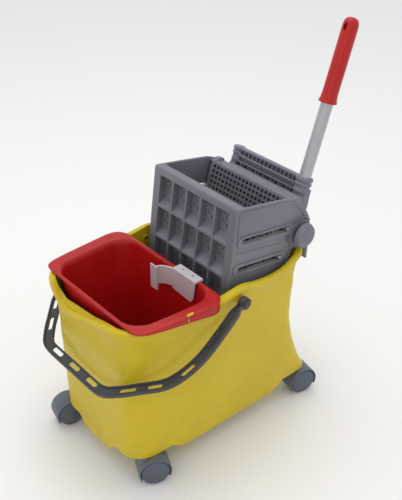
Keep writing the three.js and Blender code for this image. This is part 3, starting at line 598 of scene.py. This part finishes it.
def inner_bucket():
    shell = [inner_ring(r, 3, 3 if i < 3 else 0) for i, r in enumerate(INNER_CAVITY[:6])]
    shell.append(inner_ring((347, 123.6, -118.8, 40.1, 33.6), 3, 0))
    shell = [inner_ring((109, 84, -91, 11, 20), 3, 0)] + shell[1:]
    flange = loft([[(x, y, z) for x, y in flange_outline(step)] for z, step in
                   ((346, 2.2), (346.2, 0.6), (347.4, 0), (348.4, 0.3), (349.3, 1.1), (349.8, 2.2),
                    (350, 4))])
    obj = build("inner_bucket_shell", loft(shell), [flange])
    path = curve(FLANGE[6:17], 4)
    for sx in (-1, 1):
        rings = []
        for i, (x, y) in enumerate(path):
            s = i / (len(path) - 1)
            deep = 349.4 - (6 + 15 * smoothstep(s * 1.5)) * (1 - 0.35 * smoothstep((s - 0.84) / 0.16))
            edge = 0.994
            ring = [(sx * x * edge, y, 348.6), (sx * (x * edge - 2.6), y, 348.6),
                    (sx * (x * edge - 2.6), y, deep + 0.8), (sx * (x * edge - 1.8), y, deep),
                    (sx * (x * edge - 0.7), y, deep), (sx * x * edge, y, deep + 0.8)]
            rings.append(ring)
        boolean(obj, loft(rings), "UNION")
    slot = [(u, v) for v, u in stadium(-34, -18, 144.5, 3, 24)]
    boolean(obj, prism(slot, 336.4, 354, 2), "DIFFERENCE")
    cavity = loft([inner_ring(r) for r in INNER_CAVITY])
    return boolean(obj, cavity, "DIFFERENCE")


finish(inner_bucket(), RED, "inner_bucket", ["inner_bucket"], 40)


def rim_holder():
    top = 350.3
    saddle = box(23, 84, 33.2, 52.4, top, top + 4)
    inside = prism([(23, top + 4), (23, 312), (72, 308), (80, 318), (84, top + 4)], 33.2, 36, 1)
    outside = box(28, 80, 49.4, 52.4, 334, top + 3.9)
    outer = curve([(24, 36), (14, 32), (4, 24.6), (-1, 15)], 6)
    back = curve([(1.6, 14), (6.6, 22.4), (16, 29), (32, 33.4)], 6)
    arm = prism(outer + back + [(32, 36)], 318, top + 4, 2)
    tab = box(-13, 5, 12.6, 15.6, 306, top + 4)
    rim = box(30, 78, 36, 38, top - 2, top + 1)
    obj = build("rim_holder_clip", saddle, [inside, outside, arm, tab, rim],
                [rod(2, 342, 362, 40, 45, 2.2, 24), rod(2, 342, 362, 66, 45, 2.2, 24)])
    return obj


finish(rim_holder(), MILKY, "rim_holder", ["rim_holder"])

# ------------------------------------------------------------------ bail
DROOP = math.radians(21)
ALONG = Vector((0, -math.cos(DROOP), -math.sin(DROOP)))
NORMAL = Vector((0, -math.sin(DROOP), math.cos(DROOP)))
BAIL_HALF = [(148, 0), (148.3, 14), (152.2, 30), (157, 48), (162, 70), (168, 96), (172, 120), (173, 143),
             (171, 165), (166, 186), (157, 202), (144, 216.5), (129, 232), (115, 247), (99, 261.5),
             (88, 269.5), (76, 273.5), (60, 274.5), (38, 274.5),
             (14, 274.5)]


def bail_at(u, s, h):
    return Vector((0, PIVOT.y, PIVOT.z)) + Vector((u, 0, 0)) + ALONG * s + NORMAL * h


def bail():
    path = curve(BAIL_HALF + [(-x, s) for x, s in BAIL_HALF[::-1]], 4)
    rings = []
    for i, (x, s) in enumerate(path):
        a, b = path[max(i - 1, 0)], path[min(i + 1, len(path) - 1)]
        d = Vector((b[0] - a[0], b[1] - a[1])).normalized()
        side = Vector((-d.y, d.x))
        w = 6 + 3.45 * smoothstep((s - 10) / 20)
        edge, web, h, r = 3.4, 1.9, 4.6, 0.9
        section = [(-w, -h + r), (-w + r, -h), (-w + edge - r, -h), (-w + edge, -h + r), (-w + edge, -web),
                   (w - edge, -web), (w - edge, -h + r), (w - edge + r, -h), (w - r, -h), (w, -h + r)]
        section += [(-p, -q) for p, q in section]
        rings.append([bail_at(x + side.x * p, s + side.y * p, q) for p, q in section])
    obj = to_object("bail_arch", loft(rings))
    slots = [(0, 272.5, 0, 30), (-52, 272.5, 0, 30), (52, 272.5, 0, 30)]
    for sx in (-1, 1):
        slots += [(sx * 118, 243, sx * -45, 30), (sx * 150.5, 209.5, sx * -47, 26),
                  (sx * 171.8, 154, sx * -88, 28)]
    for x, s, turn, long in slots:
        t = math.radians(turn)
        outline = stadium(-long / 2, long / 2, 0, 4.2, 24)
        ring = [(x + u * math.cos(t) - v * math.sin(t), s + u * math.sin(t) + v * math.cos(t))
                for u, v in outline]
        through = loft([[bail_at(u, v, h) for u, v in ring] for h in (-12, 12)])
        boolean(obj, through, "DIFFERENCE")
    for sx in (-1, 1):
        x = sx * 148
        boolean(obj, rod(0, x - 6, x + 6, PIVOT.y, PIVOT.z, 11, 40), "UNION")
        boolean(obj, rod(0, x - 9, x + 9, PIVOT.y, PIVOT.z, 4.4, 24), "DIFFERENCE")
        for s0, s1 in ((26, 62), (68, 104)):
            rib = [bail_at(sx * (148.6 + 0.205 * (s - 16)) + sx * u, s, h)
                   for s in (s0, s1) for u, h in ((-2.6, 1.5), (2.6, 1.5), (2.2, 4.2), (-2.2, 4.2))]
            boolean(obj, loft([rib[:4], rib[4:]]), "UNION")
    return obj


finish(bail(), DARK, "bail", ["bail_handle"])

for sx, side in ((1, "right"), (-1, "left")):
    pin = turned([(0, 0), (3.4, 0), (4, 0.7), (4, 23.2), (7.2, 23.2), (7.5, 23.6), (7.3, 24.8), (6.2, 26),
                  (4, 26.5),
                  (0, 26.6)], 40)
    pin = pin.moved(Matrix.Translation((sx * 131.5, PIVOT.y, PIVOT.z)) @ Matrix.Rotation(sx * math.pi / 2,
                                                                                         4, "Y"))
    finish(to_object(f"bail_rivet_{side}", pin), DARK, "tub", [f"bail_pin_{side}"])

# ------------------------------------------------------------------ casters
CASTERS = [("front_right", 107, -106, -24), ("front_left", -107, -106, 168), ("rear_right", 107, 267, -12),
           ("rear_left", -107, 267, 38)]
WHEEL_R, TRAIL = 27, 18


def caster_hood(name):
    arc, inside = [], []
    for i in range(37):
        a = math.radians(-28 + i / 36 * 236)
        arc.append((TRAIL + 30 * math.cos(a), WHEEL_R + 30 * math.sin(a)))
        inside.append((TRAIL + 27.8 * math.cos(a), WHEEL_R + 27.8 * math.sin(a)))
    fender = prism(arc + inside[::-1], -19.5, 19.5, 0)
    obj = to_object(f"caster_fender_{name}", fender)
    rounded(obj, 0.9, 2, 50)
    web = prism(arc, -3.4, 3.4, 0)
    boolean(obj, web, "UNION")
    boolean(obj, turned([(0, 38), (11.5, 38), (10.6, 46), (10, 55.5), (9.2, 57.6), (0, 57.6)], 36), "UNION")
    for x0, x1 in ((-23.2, -3.9), (3.9, 23.2)):
        boolean(obj, rod(0, x0, x1, TRAIL, WHEEL_R, WHEEL_R + 0.7, 64), "DIFFERENCE")
    boolean(obj, rod(0, -30, 30, TRAIL, WHEEL_R, 3.3, 24), "DIFFERENCE")
    return boolean(obj, rod(2, 51.2, 70, 0, 0, 5.2, 24), "DIFFERENCE")


def caster_wheel(name, sx):
    profile = [(0, 22.5), (5, 22.5), (5.8, 22.2), (16, 21.9), (17.2, 21.2), (18.2, 21.4), (22.5, 20.3),
               (25, 18.9), (26.4, 17.0), (27, 14.6), (27, 6.4), (26.3, 4.8), (25.4, 4.4), (3.4, 4.4),
               (3.4, 16.6),
               (0, 16.6)]
    wheel = turned(profile, 64)
    place = Matrix.Translation((0, TRAIL, WHEEL_R)) @ Matrix.Rotation(sx * math.pi / 2, 4, "Y")
    return to_object(name, wheel.moved(place))


for name, x, y, heading in CASTERS:
    turn = Matrix.Rotation(math.radians(heading), 4, "Z")
    place = TO_FRAME @ Matrix.Translation((x, y, 0)) @ turn @ TO_FRAME.inverted()
    swivel = f"caster_{name}"
    hood = caster_hood(name)
    hood.data.transform(place)
    finish(hood, HOOD, swivel, [f"caster_hood_{name}"])
    for sx, letter in ((1, "a"), (-1, "b")):
        wheel = caster_wheel(f"caster_disc_{letter}_{name}", sx)
        wheel.data.transform(place)
        finish(wheel, WHEEL, f"wheel_{letter}_{name}", [f"caster_wheel_{letter}_{name}"],
               30)
    stem = to_object(f"caster_pin_{name}", turned([(0, 51.6), (4.5, 51.6), (4.9, 52), (4.9, 66),
                                                   (4.4, 66.4), (4.4, 68), (4.9, 68.4), (4.9, 77.5),
                                                   (3.6, 79.5), (0, 79.5)], 36))
    stem.data.transform(place)
    finish(stem, STEEL, swivel, [f"caster_stem_{name}"])
    axle = to_object(f"caster_spindle_{name}", rod(0, -16, 16, TRAIL, WHEEL_R, 3, 24))
    rounded(axle, 0.4, 2)
    axle.data.transform(place)
    finish(axle, STEEL, swivel, [f"caster_axle_{name}"])

# ------------------------------------------------------------------ wringer
WRINGER = Matrix.Translation((0, 103.8, 480.5)) @ Matrix.Rotation(math.radians(-7.7), 4, "X")
W_FRAME = TO_FRAME @ WRINGER
OUT, CHEEK, DEEP, TALL = 111.8, 5.4, 17, 256
SHAFT = (161, -78)
PROFILE = [(0.4, -TALL), (0.4, -6), (1.2, -3), (3, -1.2), (5.6, -0.3), (9, 0), (60, -1.6), (112, -3.7),
           (126, -4.8), (136, -7), (144, -10.4), (152, -15.6), (160, -22.4), (168, -30.4), (176, -40),
           (182.6, -49.6), (187, -59), (189.8, -69), (191, -80), (190.6, -90), (189, -98), (186, -103),
           (155, -103), (150, -110), (145, -165), (138, -185), (122, -212),
           (84, -TALL)]


def cheek(sx):
    x0 = OUT - CHEEK if sx > 0 else -OUT
    panel = to_object("cheek", prism(PROFILE, x0, x0 + CHEEK, 0), W_FRAME)
    return rounded(panel, 1.3, 3, 50)


def relief(points, sx, low, high):
    return prism(points, OUT - low, OUT + high, 0) if sx > 0 else prism(points, -OUT - high, -OUT + low, 0)


def arc(radius, start, end, steps=28):
    angles = [math.radians(start + (end - start) * i / steps) for i in range(steps + 1)]
    return [(SHAFT[0] + radius * math.cos(a), SHAFT[1] + radius * math.sin(a)) for a in angles]


def cheek_reliefs(sx):
    bead = curve([(10, -60), (7.6, -30), (7.4, -12), (12, -7.6), (60, -8.6), (112, -10.6), (126, -12),
                  (137, -15), (148, -21.4), (160, -33), (171, -46), (178.6, -58), (182, -70),
                  (182.4, -84),
                  (180, -97)], 4)
    pieces = [relief(ribbon(bead, 3.2), sx, 0.6, 1.7),
              relief(stadium(8, 142, -63.8, 11, 40), sx, 0.6, 2.2),
              relief(stadium(6, 132, -115.2, 10, 40), sx, 0.6, 2.2),
              relief(ribbon(curve([(146.5, -84), (145.6, -100), (141.5, -128), (138.5, -160)], 5), 4), sx,
                     0.6, 2.0),
              relief(ribbon(arc(31.6, 40, 205), 2.2), sx, 0.6, 1.8),
              relief(arc(27, 0, 352.5, 47), sx, 0.6, 4.2),
              relief(ribbon([(9, -84), (120, -89)], 1.6), sx, 0.6, 0.9)]
    return pieces


# small blind holes at the back of a cell, from its middle and its top
CELL_HOLES = [(-9, -10), (1.5, -7.5), (9.5, -14), (-3.4, -17.5), (5.4, -22.5), (-8.8, -26), (0.4, -31),
              (9, -33.5)]


def cell_front():
    wall = to_object("cells", box(-OUT + 0.5, OUT - 0.5, 0.4, DEEP, -TALL, -0.4), W_FRAME)
    rounded(wall, 1.2, 3)
    cells, holes = Solid(), Solid()
    for row in range(4):
        z1 = -14.3 - row * 61.3
        z0 = max(z1 - 57.3, -250)
        for col in range(5):
            x, w = (col - 2) * 38.1, 17.05
            shape = [(-3, z0 - 2.6), (-1, z0 - 0.4), (DEEP - 2.6, z0 + 13.5), (DEEP - 2.6, z1), (1.2, z1),
                     (-1, z1 + 1.4), (-3, z1 + 3)]
            cells.add(prism(shape, x - w, x + w, 0))
            for u, v in CELL_HOLES:
                if z1 + v - 4 > z0 + 14:
                    holes.add(prism(disc(2.9, 12, x + u, z1 + v, 0.2), DEEP - 6, DEEP - 0.6, 1))
    boolean_local(wall, cells)
    return boolean_local(wall, holes)


def boolean_local(obj, solid, how="DIFFERENCE"):
    return boolean(obj, solid.moved(WRINGER), how)


def absorb(obj, other):
    mod = obj.modifiers.new("bool", "BOOLEAN")
    mod.object = other
    mod.operation = "UNION"
    mod.solver = "MANIFOLD"
    applied(obj)
    bpy.data.objects.remove(other)
    return obj


def bar(x0, x1, y0, y1, z0, z1, width=1.0):
    return rounded(to_object("bar", box(x0, x1, y0, y1, z0, z1), W_FRAME), width, 2)


def wringer_body():
    obj = cell_front()
    absorb(obj, cheek(1))
    absorb(obj, cheek(-1))
    absorb(obj, bar(-OUT + 0.5, OUT - 0.5, 0.3, 19.4, -11, -0.2, 1.6))
    absorb(obj, bar(-OUT + 1, OUT - 1, 143, 158, -20, -9, 2.2))
    absorb(obj, bar(-OUT + 1, OUT - 1, 141, 145, -60, -10, 0.6))
    absorb(obj, bar(-OUT + 1, OUT - 1, 130.5, 142, -14, -10.4, 0.9))
    absorb(obj, bar(-OUT + 1, OUT - 1, 2, 84, -TALL, -TALL + 5, 0.8))
    slope = [(80, -TALL + 5), (83, -TALL), (122, -212), (119, -208)]
    boolean_local(obj, prism(slope, -OUT + 1, OUT - 1, 0), "UNION")
    for sx in (-1, 1):
        hook = [(250, 354.4), (271, 354.4), (270.5, 324), (271.6, 321.4), (274.5, 320), (277, 355),
                (276.8, 361), (274.6, 365), (271, 367),
                (250, 367)]
        x0, x1 = (OUT - CHEEK, OUT + 4) if sx > 0 else (-OUT - 4, -OUT + CHEEK)
        boolean(obj, prism(hook, x0, x1, 0), "UNION")
        for piece in cheek_reliefs(sx):
            boolean_local(obj, piece, "UNION")
    for y in (24, 43, 62):
        boolean_local(obj, box(-96, 96, y, y + 10, -TALL - 2, -TALL + 7))
    notch = [(-97, 2), (-97, -11), (-94.5, -14), (-79, -14), (-74, -9.6), (-71, -7), (-71, 2)]
    boolean_local(obj, prism(notch, 126, 162, 1))
    for slot in (stadium(18, 133, -61.8, 5.2, 32), stadium(16, 123, -116, 5.2, 32)):
        boolean_local(obj, prism(slot, -122, 122, 0))
    boolean_local(obj, rod(0, -130, 130, *SHAFT, 7.4, 40))
    return obj


finish(wringer_body(), GREY, "wringer", ["wringer_body"], 36)

PLATE = WRINGER @ Matrix.Translation((0, 128, -61.8)) @ Matrix.Rotation(math.radians(-10.5), 4, "X")
ROD_GAP = 55.1


def press_plate():
    obj = rounded(to_object("press_grille", box(-101, 101, -7.8, -4.6, -150, 52), TO_FRAME @ PLATE), 0.7, 2)
    holes = Solid()
    pitch = 9.9
    for r in range(19):
        for c in range(19):
            x, z = (c - 9) * pitch, 43 - r * pitch
            holes.add(box(x - 3.3, x + 3.3, -9.5, -3, z - 3.3, z + 3.3))
    boolean(obj, holes.moved(PLATE), "DIFFERENCE")
    for z in (0, -ROD_GAP):
        for x in (-93.4, 0, 93.4):
            boolean(obj, box(x - 4, x + 4, -5.6, 5.9, z - 7, z + 7).moved(PLATE), "UNION")
        boolean(obj, rod(0, -110, 110, 0, z, 3.8, 24).moved(PLATE), "DIFFERENCE")
    return boolean(obj, box(-101, 101, -5.1, -0.6, -150, -145).moved(PLATE), "UNION")


finish(press_plate(), GREY, "press", ["press_plate"], 36)
for z, name in ((0, "upper"), (-ROD_GAP, "lower")):
    guide = rounded(to_object(f"guide_pin_{name}", rod(0, -OUT - 4, OUT + 4, 0, z, 3.6, 28),
                              TO_FRAME @ PLATE), 0.9, 3)
    finish(guide, STEEL, "press", [f"guide_rod_{name}"])

shaft = rounded(to_object("lever_spindle", rod(0, -124.6, 124.6, *SHAFT, 7, 44), W_FRAME), 0.5, 2)
finish(shaft, STEEL, "lever", ["lever_shaft"])


def cam_arm(sx, side):
    a = math.radians(20)
    tip = (SHAFT[0] - 88 * math.sin(a), SHAFT[1] - 88 * math.cos(a))
    d = Vector((tip[0] - SHAFT[0], tip[1] - SHAFT[1])).normalized()
    nrm = (-d.y, d.x)
    shape = [(SHAFT[0] + nrm[0] * 7, SHAFT[1] + nrm[1] * 7), (SHAFT[0] - nrm[0] * 7, SHAFT[1] - nrm[1] * 7),
             (tip[0] - nrm[0] * 5, tip[1] - nrm[1] * 5), (tip[0] + nrm[0] * 5, tip[1] + nrm[1] * 5)]
    x0 = sx * 74 - 4
    obj = rounded(to_object(f"cam_lever_{side}", prism(shape, x0, x0 + 8, 0), W_FRAME), 0.9, 2)
    boolean_local(obj, rod(0, x0 - 1, x0 + 9, *SHAFT, 11.5, 40), "UNION")
    boolean_local(obj, rod(0, x0 - 2, x0 + 10, *tip, 5, 28), "UNION")
    return boolean_local(obj, rod(0, x0 - 5, x0 + 13, *SHAFT, 7.3, 40))


for sx, side in ((1, "right"), (-1, "left")):
    finish(cam_arm(sx, side), GREY, "lever", [f"cam_arm_{side}"])
    dome = turned([(0, 136.4), (6, 136.35), (12, 135.8), (16.6, 134.9), (19.6, 133.7), (21.4, 132.2),
                   (22.6, 130), (23.4, 127.4), (23.6, 126.4), (24, 126.2), (24, 125),
                   (0, 125)], 64)
    dome = dome.moved(Matrix.Translation((0, *SHAFT)) @ Matrix.Rotation(sx * math.pi / 2, 4, "Y"))
    finish(to_object(f"hub_dome_{side}", dome, W_FRAME), GREY, "lever", [f"hub_cap_{side}"],
           30)

# ------------------------------------------------------------------ lever
FOOT = (87, 284.5, 464)
LEAN = Matrix.Translation((0, FOOT[1], FOOT[2])) @ Matrix.Rotation(math.radians(-18.6), 4, "X")
TUBE_AT = LEAN @ Matrix.Translation((FOOT[0], 0, 0))
POST = [(0, -36), (11.5, -36), (12.6, -32), (13.4, -27), (13.4, -20), (14.8, -18.6), (15, -18),
        (15, -14.6), (14.7, -14), (13.6, -12), (13.6, -7), (15.5, -5.6), (15.8, -5), (15.8, -2.6),
        (15.4, -2), (14, 0), (14.4, 1), (15.9, 2.4), (16.2, 3.2), (16.2, 6.6), (15.8, 7.6), (14.8, 8.2),
        (0, 8.5)]


def lever_yoke():
    small = [(r * 0.72, h) for r, h in POST]
    obj = to_object("yoke_frame", turned(small, 56).moved(LEAN @ Matrix.Translation((-83, 0, 0))))
    boolean(obj, turned(POST, 56).moved(LEAN @ Matrix.Translation((87, 0, 0))), "UNION")

    def rail(x0, x1, y0, y1, z0, z1, width=0.7):
        return absorb(obj, rounded(to_object("rail", box(x0, x1, y0, y1, z0, z1), TO_FRAME @ LEAN), width,
                                   2))

    rail(-83, 87, -6.5, 6.5, 3, 8, 1.4)
    rail(-83, 87, -8, 6, -9, -5, 1.0)
    rail(-83, 87, -6, 6, -20, -16.5, 0.8)
    rail(-83, 87, -6, 6, -35, -31, 0.9)
    rail(-83, 87, 1, 4, -35, 8, 0.3)
    for i in range(1, 16):
        x = -83 + i * 10.6
        boolean(obj, box(x - 1.0, x + 1.0, -5.4, 2, -6, 4).moved(LEAN), "UNION")
    for i in range(8):
        x = -71 + i * 20.4
        hexagon = disc(8.6, 6, x, -25.4)
        ring = prism(hexagon, -5.4, 2, 1)
        boolean(obj, ring.moved(LEAN), "UNION")
        boolean(obj, prism(disc(6.6, 6, x, -25.4), -7, 0.9, 1).moved(LEAN), "DIFFERENCE")
    hub = WRINGER @ Vector((0, *SHAFT))
    y, z = hub.y, hub.z
    shape = [(y - 13, z + 14), (y + 15, z + 2), (y + 31, z + 38), (287, 436), (291, 450), (282, 452),
             (267, 438),
             (y + 3, z + 38)]
    for sx in (-1, 1):
        x0, x1 = (95, 101.6) if sx > 0 else (-94, -87.4)
        absorb(obj, rounded(to_object("arm", prism(shape, x0, x1, 0)), 1.1, 2))
        boolean(obj, rod(0, x0, x1, y, z, 20, 56), "UNION")
    boolean(obj, rod(0, -110, 110, y, z, 7.3, 40), "DIFFERENCE")
    return boolean(obj, rod(2, -10.4, 60, 0, 0, 11.4, 48).moved(TUBE_AT), "DIFFERENCE")


finish(lever_yoke(), GREY, "lever", ["lever_yoke"], 34)


def pipe():
    rings = [(11, -9.7), (11, 100), (11, 200), (11, 263.7), (10.7, 264), (9.8, 264), (9.5, 263.7),
             (9.5, -9.7), (9.8, -10),
             (10.7, -10)]
    n = 64
    verts = [(r * math.cos(2 * math.pi * i / n), r * math.sin(2 * math.pi * i / n), h)
             for r, h in rings for i in range(n)]
    faces = []
    for k in range(len(rings)):
        for i in range(n):
            a, b = k * n + i, k * n + (i + 1) % n
            c, d = (k + 1) % len(rings) * n + (i + 1) % n, (k + 1) % len(rings) * n + i
            faces.append((a, b, c, d))
    return outward(Solid(verts, faces))


finish(to_object("lever_pipe", pipe(), TO_FRAME @ TUBE_AT), TUBE, "lever", ["lever_tube"])


def grip():
    top, foot = 291.8, 145
    profile = [(0, top), (4, top - 0.2), (7.4, top - 1.2), (10.2, top - 3.2), (12.2, top - 6),
               (13.3, top - 9.4), (13.8, top - 14), (14, top - 20), (14, foot + 22), (14.2, foot + 15),
               (14.8, foot + 9), (15.6, foot + 4.6), (16.5, foot + 2.6), (16.6, foot + 1), (16.1, foot),
               (11.6, foot), (11.3, foot + 0.4), (11.3, 264.4),
               (0, 264.4)]
    obj = to_object("grip_sleeve", turned(profile, 64), TO_FRAME @ TUBE_AT)
    hole = stadium(top - 23, top - 10, 0, 3, 28)
    return boolean(obj, prism([(v, u) for u, v in hole], -22, 22, 1).moved(TUBE_AT), "DIFFERENCE")


finish(grip(), RED, "lever", ["lever_grip"], 34)

# ------------------------------------------------------------------ floor, light and camera
def floor():
    mesh = bpy.data.meshes.new("floor")
    mesh.from_pydata([(-14, -14, 0), (14, -14, 0), (14, 14, 0), (-14, 14, 0)], [], [(0, 1, 2, 3)])
    obj = bpy.data.objects.new("floor", mesh)
    bpy.context.scene.collection.objects.link(obj)
    mat = bpy.data.materials.new("pale_floor")
    mat.use_nodes = True
    shader = mat.node_tree.nodes["Principled BSDF"]
    shader.inputs["Base Color"].default_value = (0.93, 0.93, 0.93, 1)
    shader.inputs["Roughness"].default_value = 0.9
    shader.inputs["Specular IOR Level"].default_value = 0.1
    mesh.materials.append(mat)


def lamp(name, power, size, place, target, colour=(1, 1, 1)):
    light = bpy.data.lights.new(name, "AREA")
    light.energy = power
    light.size = size
    light.color = colour
    obj = bpy.data.objects.new(name, light)
    obj.location = place
    obj.rotation_euler = (Vector(target) - Vector(place)).to_track_quat("-Z", "Y").to_euler()
    bpy.context.scene.collection.objects.link(obj)


floor()
world = bpy.data.worlds.new("soft_white")
world.use_nodes = True
world.node_tree.nodes["Background"].inputs[0].default_value = (1, 1, 1, 1)
world.node_tree.nodes["Background"].inputs[1].default_value = 0.8
bpy.context.scene.world = world
bpy.context.scene.view_settings.view_transform = "Standard"
lamp("overhead", 16, 1.6, (-0.3, 0.1, 2.4), (0, 0, 0.3))
lamp("front", 2.5, 1.4, (1.2, -2.2, 1.3), (0, 0, 0.3))

camera = bpy.data.cameras.new("camera")
camera.lens = 60.67
camera.sensor_width = 36
view = bpy.data.objects.new("camera", camera)
view.location = (0.9908, (-718.7 - ORIGIN_Y) * MM, 1.1588)
view.rotation_euler = (math.radians(90 - 32.1), 0, math.radians(49.8))
bpy.context.scene.collection.objects.link(view)
bpy.context.scene.camera = view
